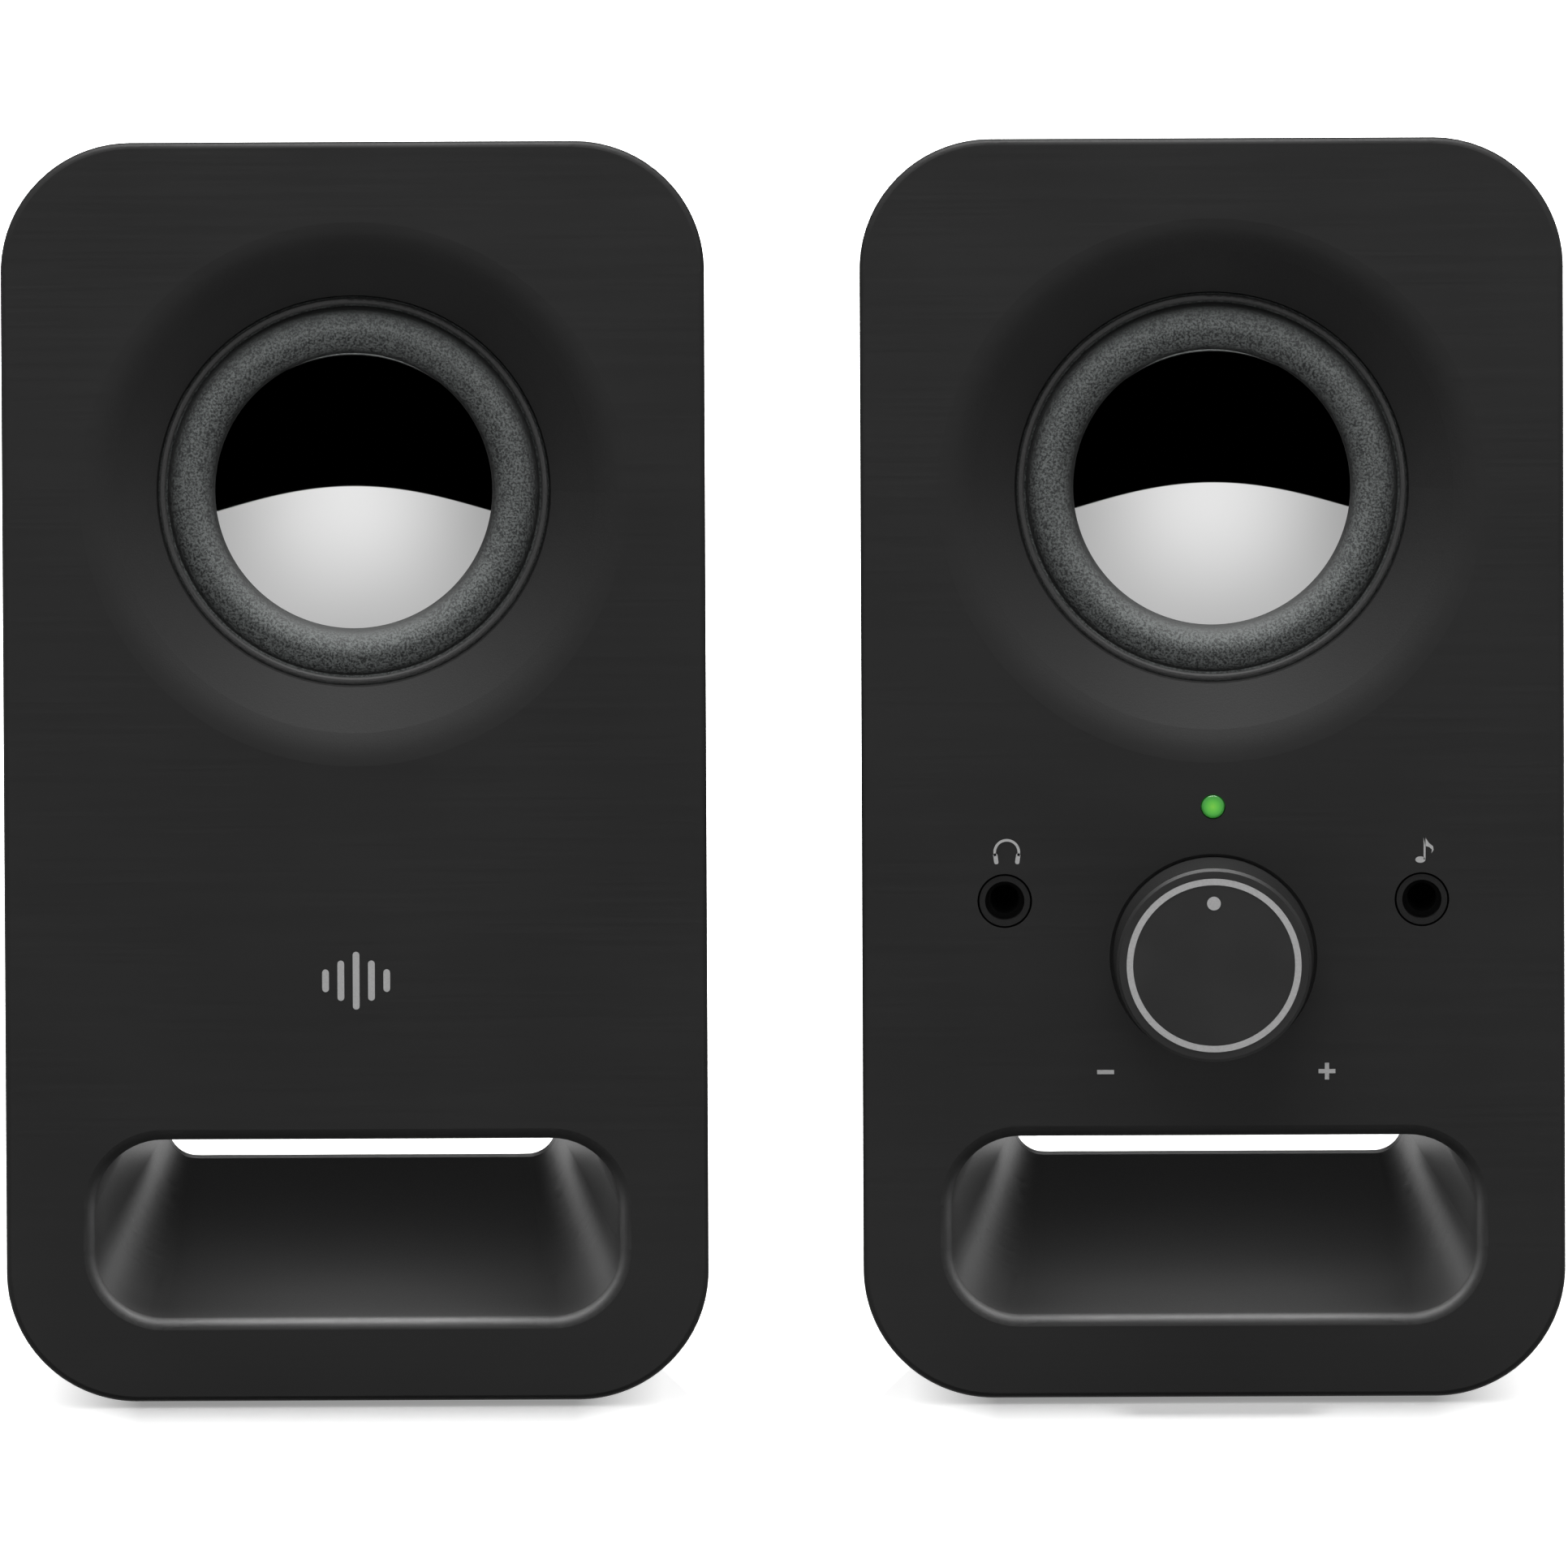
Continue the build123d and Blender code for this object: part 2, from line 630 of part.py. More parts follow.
def led_light_pipe():
    pipe = rod(PIPE_R, -0.1, 15.6, z=LED_Z) + rod(2.4, 2.8, 4.2, z=LED_Z)
    return fillet(edges_at(pipe, -0.1), 0.3)


def amplifier_chip():
    return block(-5.5, 5.5, BOARD_BACK, BOARD_BACK + 2.2, 61.5, 67.5)


def heat_sink():
    """Finned aluminium block on the amplifier chip."""
    base, top = BOARD_BACK + 2.3, BOARD_BACK + 12
    sink = block(-10, 10, base, top, 59.0, 70.0)
    for k in range(4):
        middle = -6.8 + k * 4.53
        sink -= block(middle - 1.3, middle + 1.3, base + 2, top + 1, 50, 80)
    return sink


def capacitors():
    """Two large and three small electrolytic capacitors that stand on the board's back."""
    cans = []
    for x, z, radius, height in (
        (-12.5, 75.0, 4.0, 11.5), (12.5, 75.0, 4.0, 11.5),
        (-13.0, 54.5, 2.5, 7.0), (0.0, 54.5, 2.5, 7.0), (10.0, 54.5, 2.5, 7.0),
    ):
        can = rod(radius, BOARD_BACK, BOARD_BACK + height, x, z)
        cans.append(fillet(edges_at(can, BOARD_BACK + height), 0.5))
    return cans


def wire_headers():
    """Plastic pin headers that the internal leads plug into."""
    far = BOARD_BACK + 6
    return [
        block(17.0, 24.0, BOARD_BACK, far, 60.0, 64.5),
        block(-24.0, -17.0, BOARD_BACK, far, 60.0, 64.5),
    ]


def right_driver_leads():
    """Pair of leads from the driver's lugs to the header on the control board."""
    leads = []
    for side, x in ((-1, 22.0), (1, 19.0)):
        start = lug_point(side)
        points = [
            start,
            (start.X, 17.5, start.Z),
            (x, 26.0, 84.0),
            (x, 31.5, 74.0),
            (x, 31.5, 62.25),
            (x, BOARD_BACK + 6.05, 62.25),
        ]
        leads.append(wire(points, [3.0, 4.0, 3.0, 2.5], LEAD_R))
    return leads


def power_leads():
    """Pair of leads from the socket board to the header on the control board."""
    leads = []
    for x in (-22.0, -19.0):
        points = [
            (x, BOARD_BACK + 6.05, 62.25),
            (x, 36.0, 62.25),
            (x + 5.0, 46.0, 58.5),
            (x + 10.0, 54.0, 58.0),
            (x + 10.0, REAR_BOARD_DEPTH - 0.05, 58.0),
        ]
        leads.append(wire(points, [5.0, 5.0, 4.0], LEAD_R))
    return leads


def left_driver_leads():
    """Pair of leads from the driver's lugs to the socket board at the back."""
    leads = []
    for side, x in ((-1, 9.5), (1, 7.0)):
        start = lug_point(side)
        points = [
            start,
            (start.X, 19.0, start.Z),
            (start.X - 2.0, 32.0, 82.0),
            (start.X - 6.0, 42.0, 70.0),
            (x, 52.0, 58.0),
            (x, REAR_BOARD_DEPTH - 0.05, 58.0),
        ]
        leads.append(wire(points, [4.0, 5.0, 6.0, 4.0], LEAD_R))
    return leads


# ---------------------------------------------------------------- assembly
def both_sides(controls):
    """The pieces that both speakers have."""
    sockets = [(INLET_X, 4.25), (OUTPUT_X, JACK_HOLE_R)] if controls else [(0.0, JACK_HOLE_R)]
    return {
        "front_shell": front_shell(controls),
        "rear_shell": rear_shell(sockets),
        "feet": feet(),
        "shell_screws": shell_screws(),
        "driver_basket": driver_basket(),
        "driver_top_plate": driver_top_plate(),
        "driver_magnet": driver_magnet(),
        "driver_yoke": driver_yoke(),
        "driver_cone": driver_cone(),
        "voice_coil_former": voice_coil_former(),
        "voice_coil_winding": voice_coil_winding(),
        "spider": spider(),
        "surround": surround(),
        "driver_trim_ring": driver_trim_ring(),
        "driver_screws": driver_screws(),
        "terminal_strip": terminal_strip(),
        "terminal_lugs": terminal_lugs(),
        "driver_leads": right_driver_leads() if controls else left_driver_leads(),
        "socket_board": socket_board(),
        "board_screws": socket_board_screws() + (control_board_screws() if controls else []),
    }


def right_only():
    return {
        "volume_knob": volume_knob(),
        "knob_markings": knob_markings(),
        "potentiometer_body": potentiometer_body(),
        "potentiometer_shaft": potentiometer_shaft(),
        "potentiometer_nut": potentiometer_nut(),
        "headphone_jack": headphone_jack(),
        "aux_input_jack": aux_input_jack(),
        "led_light_pipe": led_light_pipe(),
        "power_led": power_led(),
        "control_board": control_board(),
        "amplifier_chip": amplifier_chip(),
        "heat_sink": heat_sink(),
        "capacitors": capacitors(),
        "wire_headers": wire_headers(),
        "power_leads": power_leads(),
        "power_inlet": power_inlet(),
        "power_inlet_pin": power_inlet_pin(),
        "speaker_output_jack": socket_to_back(OUTPUT_X),
    }


def left_only():
    return {"speaker_input_jack": socket_to_back(0.0)}


def save(name, shape, x):
    """Sets a piece in its speaker's place and writes it."""
    solids = shape if isinstance(shape, list) else [shape]
    placed = [Pos(x, FACE_Y, 0) * solid for solid in solids]
    whole = placed[0] if len(placed) == 1 else Compound(children=placed)
    export_step(whole, f"parts/{name}.step")


os.makedirs("parts", exist_ok=True)
for side, x, extra in (("left", -CENTRE_SPACING / 2, left_only()), ("right", CENTRE_SPACING / 2, right_only())):
    for name, shape in both_sides(side == "right").items():
        save(f"{side}_{name}", shape, x)
    for name, shape in extra.items():
        save(name, shape, x)
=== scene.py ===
import json
import math

import bpy
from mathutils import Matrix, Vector
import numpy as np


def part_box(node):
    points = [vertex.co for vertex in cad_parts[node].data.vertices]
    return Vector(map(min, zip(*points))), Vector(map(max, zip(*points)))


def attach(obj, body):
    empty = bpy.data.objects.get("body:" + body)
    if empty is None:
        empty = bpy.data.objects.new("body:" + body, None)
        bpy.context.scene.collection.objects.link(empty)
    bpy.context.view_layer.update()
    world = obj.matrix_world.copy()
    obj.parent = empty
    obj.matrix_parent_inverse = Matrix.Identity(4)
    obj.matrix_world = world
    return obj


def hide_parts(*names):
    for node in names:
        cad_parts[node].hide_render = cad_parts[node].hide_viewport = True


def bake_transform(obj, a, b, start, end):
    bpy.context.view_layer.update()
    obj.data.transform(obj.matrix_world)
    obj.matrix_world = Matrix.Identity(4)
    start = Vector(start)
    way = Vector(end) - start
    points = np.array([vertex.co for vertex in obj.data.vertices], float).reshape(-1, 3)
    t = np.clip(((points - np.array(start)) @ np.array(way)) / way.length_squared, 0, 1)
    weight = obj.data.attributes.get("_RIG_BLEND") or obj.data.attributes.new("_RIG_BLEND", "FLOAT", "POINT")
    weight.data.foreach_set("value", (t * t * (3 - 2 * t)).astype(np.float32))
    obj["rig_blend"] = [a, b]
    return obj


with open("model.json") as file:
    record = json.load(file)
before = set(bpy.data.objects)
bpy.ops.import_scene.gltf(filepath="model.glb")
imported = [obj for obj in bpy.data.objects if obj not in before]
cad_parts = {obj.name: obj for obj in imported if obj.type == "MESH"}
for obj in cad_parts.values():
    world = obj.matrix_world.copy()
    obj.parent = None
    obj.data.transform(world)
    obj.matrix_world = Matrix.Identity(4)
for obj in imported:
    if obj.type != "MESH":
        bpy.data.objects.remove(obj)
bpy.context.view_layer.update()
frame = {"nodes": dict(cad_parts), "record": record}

MM = 0.001


# ---------------------------------------------------------------- places read from the frame
def middle(node):
    low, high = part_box(node)
    return (low + high) / 2


SIDES = ("left", "right")
FACE_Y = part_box("right_front_shell")[0].y
LEFT_X = middle("left_front_shell").x
RIGHT_X = middle("right_front_shell").x
KNOB = middle("volume_knob")
JACK_Z = middle("headphone_jack").z
JACK_X = middle("aux_input_jack").x - RIGHT_X
LED = middle("power_led")

# The walls of the foot passages: each pair is where a mask of them starts to change and where it has changed.
PASSAGE_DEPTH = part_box("right_rear_shell")[1].y - FACE_Y
PASSAGE_TAPER = 0.115    # how much nearer each side wall comes to the middle, for each unit of depth
PASSAGE_SIDE = (33.8 * MM, 34.6 * MM)
PASSAGE_TOP = (38 * MM, 40 * MM)
PASSAGE_FLOOR = (9.5 * MM, 10.5 * MM)
PASSAGE_MOUTH = (0.8 * MM, 2.0 * MM)
PASSAGE_END = (PASSAGE_DEPTH - 1.5 * MM, PASSAGE_DEPTH - 0.5 * MM)


# ---------------------------------------------------------------- materials
NOISE_SPAN = (0.3, 0.7)    # the values that a noise mostly has
FLAT_FACE = (0.985, 0.999)    # how squarely a surface faces the front, from not flat face to flat face
LIGHT_R = 1.5 * MM
WHITE = (1, 1, 1, 1)
BLACK = (0, 0, 0, 1)


class Shader:
    """A material's node tree, with short ways to add nodes and join them."""

    def __init__(self, name):
        self.material = bpy.data.materials.new(name)
        self.material.use_nodes = True
        self.tree = self.material.node_tree
        self.surface = self.tree.nodes["Principled BSDF"]
        self.place = self.add("ShaderNodeTexCoord").outputs["Object"]

    def add(self, kind, inputs=None, **settings):
        node = self.tree.nodes.new(kind)
        for key, value in settings.items():
            setattr(node, key, value)
        for key, value in (inputs or {}).items():
            self.put(value, node.inputs[key])
        return node

    def put(self, value, socket):
        if isinstance(value, bpy.types.NodeSocket):
            self.tree.links.new(value, socket)
        else:
            socket.default_value = value

    def set(self, **values):
        for key, value in values.items():
            self.put(value, self.surface.inputs[key.replace("_", " ")])

    def stretched(self, x=1.0, y=1.0, z=1.0):
        node = self.add("ShaderNodeMapping", {"Vector": self.place, "Scale": (x, y, z)})
        return node.outputs["Vector"]

    def noise(self, scale, detail=2.0, roughness=0.5, vector=None):
        inputs = {
            "Vector": vector or self.place,
            "Scale": scale,
            "Detail": detail,
            "Roughness": roughness,
        }
        return self.add("ShaderNodeTexNoise", inputs).outputs["Fac"]

    def cells(self, scale):
        inputs = {"Vector": self.place, "Scale": scale}
        return self.add("ShaderNodeTexVoronoi", inputs).outputs["Distance"]

    def wave(self, scale, direction):
        inputs = {"Vector": self.place, "Scale": scale}
        return self.add("ShaderNodeTexWave", inputs, bands_direction=direction).outputs["Fac"]

    def ramp(self, factor, *stops):
        """Colours or greys along a factor: each stop is (position, grey or rgb)."""
        node = self.add("ShaderNodeValToRGB", {"Fac": factor})
        ramp = node.color_ramp
        while len(ramp.elements) < len(stops):
            ramp.elements.new(0.5)
        for element, (position, tone) in zip(ramp.elements, stops):
            element.position = position
            rgb = (tone,) * 3 if isinstance(tone, (int, float)) else tone
            element.color = (*rgb, 1)
        return node.outputs["Color"]

    def range(self, factor, low, high, start=0.0, end=1.0):
        inputs = {"Value": factor, "From Min": start, "From Max": end, "To Min": low, "To Max": high}
        return self.add("ShaderNodeMapRange", inputs).outputs["Result"]

    def spread(self, noise, low, high):
        """A number from low to high over the values that a noise mostly has."""
        return self.range(noise, low, high, *NOISE_SPAN)

    def tones(self, noise, dark, light):
        """A colour from dark to light over the values that a noise mostly has."""
        return self.ramp(noise, (NOISE_SPAN[0], dark), (NOISE_SPAN[1], light))

    def math(self, operation, a, b=0.0):
        node = self.add("ShaderNodeMath", operation=operation)
        self.put(a, node.inputs[0])
        self.put(b, node.inputs[1])
        return node.outputs[0]

    def axes(self, vector):
        """The x, y and z of a vector."""
        return self.add("ShaderNodeSeparateXYZ", {"Vector": vector}).outputs

    def frontness(self, kind="Normal"):
        """1 where the surface faces the front squarely, 0 where it faces sideways, -1 at the back."""
        normal = self.add("ShaderNodeNewGeometry").outputs[kind]
        return self.math("MULTIPLY", self.axes(normal)["Y"], -1.0)

    def beside_middle(self, x):
        """How far a place is to either side of the middle of its own speaker."""
        return self.math("ABSOLUTE", self.math("SUBTRACT", self.math("ABSOLUTE", x), RIGHT_X))

    def blend(self, factor, a, b):
        """A number that goes from a to b."""
        node = self.add("ShaderNodeMix", data_type="FLOAT")
        for socket, value in zip(node.inputs[0:1] + node.inputs[2:4], (factor, a, b)):
            self.put(value, socket)
        return node.outputs[0]

    def inside_passage(self):
        """1 on the walls of the foot passages, which the tool leaves smoother, 0 on everything else."""
        x, y, z = self.axes(self.place)
        depth = self.math("SUBTRACT", y, FACE_Y)
        reach = self.math("ADD", self.beside_middle(x), self.math("MULTIPLY", depth, PASSAGE_TAPER))
        limits = (
            self.range(reach, 1, 0, *PASSAGE_SIDE),
            self.range(z, 1, 0, *PASSAGE_TOP),
            self.range(z, 0, 1, *PASSAGE_FLOOR),
            self.range(depth, 0, 1, *PASSAGE_MOUTH),
            self.range(depth, 1, 0, *PASSAGE_END),
        )
        inside = limits[0]
        for limit in limits[1:]:
            inside = self.math("MULTIPLY", inside, limit)
        return inside

    def bump(self, height, strength, distance):
        inputs = {"Height": height, "Strength": strength, "Distance": distance}
        return self.add("ShaderNodeBump", inputs).outputs["Normal"]


def cabinet_plastic():
    """Black moulding: a brushed grain across the flat face, fine spark texture everywhere else."""
    s = Shader("cabinet_black")
    streaks = s.noise(1.0, 3, 0.6, s.stretched(45, 45, 2600))
    fine = s.noise(5200, 2, 0.6)
    clouds = s.noise(38, 2, 0.5)
    facing = s.range(s.frontness(), 0, 1, *FLAT_FACE)
    grain = s.blend(facing, fine, streaks)
    tone = s.math("ADD", s.math("MULTIPLY", grain, 0.5), s.math("MULTIPLY", clouds, 0.5))
    s.set(Base_Color=s.ramp(tone, (0.35, 0.0040), (0.65, 0.0060)))
    rough = s.spread(grain, 0.57, 0.67)
    smooth = s.spread(grain, 0.36, 0.42)
    s.set(Roughness=s.blend(s.inside_passage(), rough, smooth), Specular_IOR_Level=0.36)
    s.set(Normal=s.bump(grain, s.range(facing, 0.35, 0.05), 0.04 * MM))
    return s.material


def knob_plastic():
    """Black moulding, a little smoother and lighter than the cabinet."""
    s = Shader("knob_black")
    fine = s.noise(9000, 2, 0.6)
    clouds = s.noise(120, 2, 0.5)
    s.set(Base_Color=s.tones(clouds, 0.009, 0.0115))
    s.set(Roughness=s.spread(fine, 0.46, 0.54), Specular_IOR_Level=0.32)
    s.set(Normal=s.bump(fine, 0.08, 0.03 * MM))
    return s.material


def polished_dish():
    """Bright metal, nearly a mirror, with a slight haze."""
    s = Shader("polished_dish")
    haze = s.noise(60, 2, 0.5)
    s.set(Base_Color=s.tones(haze, 0.89, 0.91), Metallic=1.0)
    s.set(Roughness=s.spread(haze, 0.015, 0.03))
    return s.material


def surround_foam():
    """Dark grey open foam: bright specks between dark pores, with painted shade darkening the roll where it
    turns away from the front.
    """
    s = Shader("surround_foam")
    pores = s.noise(3400, 2, 0.7)
    coarse = s.noise(1500, 2, 0.5)
    mixed = s.math("ADD", s.math("MULTIPLY", pores, 0.9), s.math("MULTIPLY", coarse, 0.1))
    # Painted shade: the foam's colour is scaled down where its surface faces sideways, so the roll's edges
    # read darker.
    lit = s.range(s.frontness("True Normal"), 0.22, 1.0, 0.45, 0.98)
    tone = s.ramp(mixed, (0.40, (0.006, 0.007, 0.007)), (0.60, (0.046, 0.050, 0.049)))
    tone_with_painted_shade = s.add("ShaderNodeVectorMath", {0: tone}, operation="SCALE")
    s.put(lit, tone_with_painted_shade.inputs["Scale"])
    s.set(Base_Color=tone_with_painted_shade.outputs[0])
    s.set(Roughness=s.range(mixed, 0.75, 0.95, 0.35, 0.65), Specular_IOR_Level=0.35)
    s.set(Normal=s.bump(mixed, 0.55, 0.12 * MM))
    return s.material


def simple(name, dark, light, roughness, scale, metallic=0.0, bump=0.05, depth=0.03 * MM, stretch=None):
    """A plain moulded, stamped or turned surface: tone, roughness and a fine bump from one noise."""
    s = Shader(name)
    vector = s.stretched(*stretch) if stretch else None
    grain = s.noise(scale, 3, 0.55, vector)
    s.set(Base_Color=s.tones(grain, dark, light), Metallic=metallic)
    s.set(Roughness=s.spread(grain, roughness - 0.05, roughness + 0.05))
    s.set(Normal=s.bump(grain, bump, depth))
    return s.material


def circuit_board():
    """Green board with blocks of copper under the lacquer."""
    s = Shader("circuit_board")
    weave = s.cells(900)
    blocks = {"Vector": s.place, "Scale": 260.0, "Mortar Size": 0.03, "Color1": WHITE, "Color2": BLACK}
    copper = s.add("ShaderNodeTexBrick", blocks)
    tracks = s.ramp(copper.outputs["Color"], (0.2, (0.012, 0.085, 0.035)), (0.8, (0.02, 0.125, 0.05)))
    s.set(Base_Color=tracks, Roughness=0.3, Normal=s.bump(weave, 0.06, 0.03 * MM))
    return s.material


def copper_winding():
    """Turns of enamelled wire."""
    s = Shader("copper_winding")
    turns = s.wave(900.0, "Y")
    s.set(Base_Color=s.ramp(turns, (0.0, (0.30, 0.09, 0.03)), (1.0, (0.75, 0.30, 0.13))))
    s.set(Metallic=1.0, Roughness=0.28, Normal=s.bump(turns, 0.5, 0.05 * MM))
    return s.material


def spider_cloth():
    """Stiffened woven cloth."""
    s = Shader("spider_cloth")
    weave = s.math("MULTIPLY", s.wave(500.0, "X"), s.wave(500.0, "Z"))
    s.set(Base_Color=s.ramp(weave, (0.0, (0.30, 0.19, 0.06)), (1.0, (0.62, 0.44, 0.18))))
    s.set(Roughness=0.8, Normal=s.bump(weave, 0.4, 0.1 * MM))
    return s.material


def socket_plastic():
    """Black moulded socket: a dull rim at the face, with painted shade making it darker deeper inside the
    mouth.
    """
    s = Shader("socket_plastic")
    fine = s.noise(5000, 3, 0.55)
    # Painted shade: the colour darkens with depth into the mouth, down to a tenth of the rim's tone; the same
    # depth also raises the roughness.
    inside = s.range(s.axes(s.place)["Y"], 0, 1, FACE_Y + 0.4 * MM, FACE_Y + 1.6 * MM)
    tone = s.math("MULTIPLY", s.spread(fine, 0.004, 0.007), s.range(inside, 1.0, 0.1))
    s.set(Base_Color=s.ramp(tone, (0.0, 0.0), (1.0, 1.0)), Roughness=s.range(inside, 0.42, 0.9))
    s.set(Specular_IOR_Level=0.25, Normal=s.bump(fine, 0.1, 0.03 * MM))
    return s.material


def lit_green(name):
    """The power light: a saturated core that falls off towards the rim of the guide."""
    s = Shader(name)
    offset = s.add("ShaderNodeVectorMath", {0: s.place, 1: tuple(LED)}, operation="SUBTRACT")
    flat = s.add("ShaderNodeVectorMath", {0: offset.outputs[0], 1: (1, 0, 1)}, operation="MULTIPLY")
    radius = s.add("ShaderNodeVectorMath", {0: flat.outputs[0]}, operation="LENGTH").outputs["Value"]
    glow = s.ramp(
        s.math("DIVIDE", radius, LIGHT_R),
        (0.0, (0.14, 0.40, 0.025)),
        (0.42, (0.06, 0.31, 0.02)),
        (0.72, (0.02, 0.19, 0.01)),
        (0.92, (0.004, 0.05, 0.004)),
    )
    speckle = s.noise(4000, 2, 0.5)
    s.set(Base_Color=(0.02, 0.10, 0.02, 1), Roughness=0.25, Emission_Color=glow, Emission_Strength=1.0)
    s.set(Normal=s.bump(speckle, 0.05, 0.03 * MM))
    return s.material


MATERIALS = {
    "cabinet": cabinet_plastic(),
    "foot_rubber": simple("foot_rubber", 0.012, 0.022, 0.85, 2500, bump=0.3, depth=0.08 * MM),
    "black_screw": simple("black_screw", 0.015, 0.03, 0.4, 900, metallic=0.8),
    "zinc_screw": simple("zinc_screw", 0.42, 0.58, 0.32, 1200, metallic=1.0),
    "basket_steel": simple("basket_steel", 0.016, 0.026, 0.45, 1800, metallic=0.4, bump=0.2),
    "plate_steel": simple("plate_steel", 0.38, 0.52, 0.36, 900, metallic=1.0),
    "ferrite": simple("ferrite", 0.030, 0.050, 0.62, 1500, bump=0.35, depth=0.08 * MM),
    "polished_dish": polished_dish(),
    "coil_former": simple("coil_former", 0.55, 0.68, 0.28, 700, metallic=1.0),
    "copper": copper_winding(),
    "spider_cloth": spider_cloth(),
    "surround_foam": surround_foam(),
    "trim_ring": simple("trim_ring", 0.009, 0.020, 0.7, 4200, bump=0.3, depth=0.06 * MM),
    "phenolic": simple("phenolic", (0.10, 0.04, 0.015), (0.20, 0.08, 0.03), 0.55, 900, stretch=(1, 1, 6)),
    "tinned_brass": simple("tinned_brass", 0.55, 0.68, 0.3, 900, metallic=1.0),
    "lead_sleeve": simple("lead_sleeve", 0.015, 0.03, 0.5, 900),
    "circuit_board": circuit_board(),
    "knob_plastic": knob_plastic(),
    "print_grey": simple("print_grey", 0.170, 0.205, 0.5, 5000),
    "zinc_case": simple("zinc_case", 0.35, 0.48, 0.38, 800, metallic=1.0),
    "shaft_aluminium": simple("shaft_aluminium", 0.55, 0.66, 0.3, 1.0, metallic=1.0, stretch=(60, 4000, 60)),
    "nickel_nut": simple("nickel_nut", 0.48, 0.58, 0.26, 900, metallic=1.0),
    "socket_plastic": socket_plastic(),
    "light_pipe": lit_green("light_pipe"),
    "led_green": lit_green("led_green"),
    "chip_epoxy": simple("chip_epoxy", 0.015, 0.028, 0.55, 3000, bump=0.3, depth=0.06 * MM),
    "sink_aluminium": simple("sink_aluminium", 0.50, 0.60, 0.4, 1.0, metallic=1.0, stretch=(60, 60, 3000)),
    "capacitor_sleeve": simple("capacitor_sleeve", (0.010, 0.016, 0.05), (0.016, 0.026, 0.08), 0.3, 700),
    "header_nylon": simple("header_nylon", (0.60, 0.57, 0.47), (0.70, 0.67, 0.56), 0.5, 900),
    "nickel_pin": simple("nickel_pin", 0.6, 0.7, 0.18, 900, metallic=1.0),
}


# Left out of mirror reflections, because the right dish would show the knob at its rim.
KNOB_NODES = ("volume_knob", "knob_markings", "potentiometer_shaft", "potentiometer_nut", "potentiometer_body")


def dress_frame():
    """Gives every CAD node the finished material of its record slot."""
    slots = {part["node"]: part["material_slot"] for part in frame["record"]["subparts"]}
    for name, node in frame["nodes"].items():
        material = MATERIALS[slots[name]]
        for slot in node.material_slots:
            slot.material = material


# ---------------------------------------------------------------- pieces
def add_piece(name, vertices, faces, slot, body=None, smooth=True):
    """A mesh piece with its material, riding on body if one is named."""
    mesh = bpy.data.meshes.new(name)
    mesh.from_pydata([tuple(v) for v in vertices], [], faces)
    mesh.validate()
    piece = bpy.data.objects.new(name, mesh)
    bpy.context.scene.collection.objects.link(piece)
    mesh.materials.append(MATERIALS[slot])
    for polygon in mesh.polygons:
        polygon.use_smooth = smooth
    if body:
        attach(piece, body)
    return piece


ROLL_INNER = 17.2 * MM
ROLL_OUTER = 23.05 * MM
ROLL_RISE = 2.7 * MM
ROLL_ARCS = 32
ROLL_STEPS = 192
LIP = 0.9 * MM
LIP_EDGE = 0.1 * MM
SKIN = 0.5 * MM
DISH_R = 17.5 * MM
DISH_SKIN = 0.5 * MM
DISH_FLANGE = 0.4 * MM
DISH_BACK_EDGE = 0.6 * MM
DISH_RINGS = 48
DISH_STEPS = 256


def turned_mesh(profile, centre, steps, closed=True):
    """Vertices and faces of a (radius, y) outline turned about the depth axis through centre."""
    vertices, faces = [], []
    count = len(profile)
    for k in range(steps):
        angle = 2 * math.pi * k / steps
        for radius, y in profile:
            vertices.append((centre.x + radius * math.sin(angle), y, centre.z + radius * math.cos(angle)))
    for k in range(steps):
        here, there = k * count, (k + 1) % steps * count
        for i in range(count if closed else count - 1):
            j = (i + 1) % count
            faces.append((here + i, here + j, there + j, there + i))
    return vertices, faces


def surround_profile(low, high):
    """Outline of the foam edge in (radius, y): high half roll, step down and flat outer lip."""
    outer = (high.x - low.x) / 2
    front, back = low.y, high.y
    base = front + ROLL_RISE
    reach = (ROLL_OUTER - ROLL_INNER) / 2
    mid = (ROLL_OUTER + ROLL_INNER) / 2
    turns = [math.pi * k / ROLL_ARCS for k in range(ROLL_ARCS + 1)]
    outline = [(mid - reach * math.cos(t), base - ROLL_RISE * math.sin(t)) for t in turns]
    lip = back - LIP
    outline += [(ROLL_OUTER + LIP_EDGE, lip), (outer - LIP_EDGE, lip)]
    outline += [(outer, lip + LIP_EDGE), (outer, back), (ROLL_OUTER, back)]
    thin, rise = reach - SKIN, ROLL_RISE - SKIN
    outline += [(mid - thin * math.cos(t), base - rise * math.sin(t)) for t in reversed(turns)]
    return outline


def surround(side):
    """One-piece foam surround: its inner foot follows the dish and its outer lip stays with the cabinet."""
    node, magnet = f"{side}_surround", middle(f"{side}_driver_magnet")
    low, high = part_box(node)
    vertices, faces = turned_mesh(surround_profile(low, high), magnet, ROLL_STEPS)
    piece = add_piece(f"{side}_foam_surround", vertices, faces, "surround_foam")
    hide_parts(node)
    speaker, cone = f"{side}_speaker", f"{side}_cone_assembly"
    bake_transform(piece, speaker, cone, start=low, end=high)
    follow = piece.data.attributes["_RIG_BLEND"]
    for vertex, weight in zip(piece.data.vertices, follow.data):
        radius = math.hypot(vertex.co.x - magnet.x, vertex.co.z - magnet.z)
        share = min(max((ROLL_OUTER - radius) / (ROLL_OUTER - ROLL_INNER), 0.0), 1.0)
        weight.value = share * share * (3 - 2 * share)
    return piece


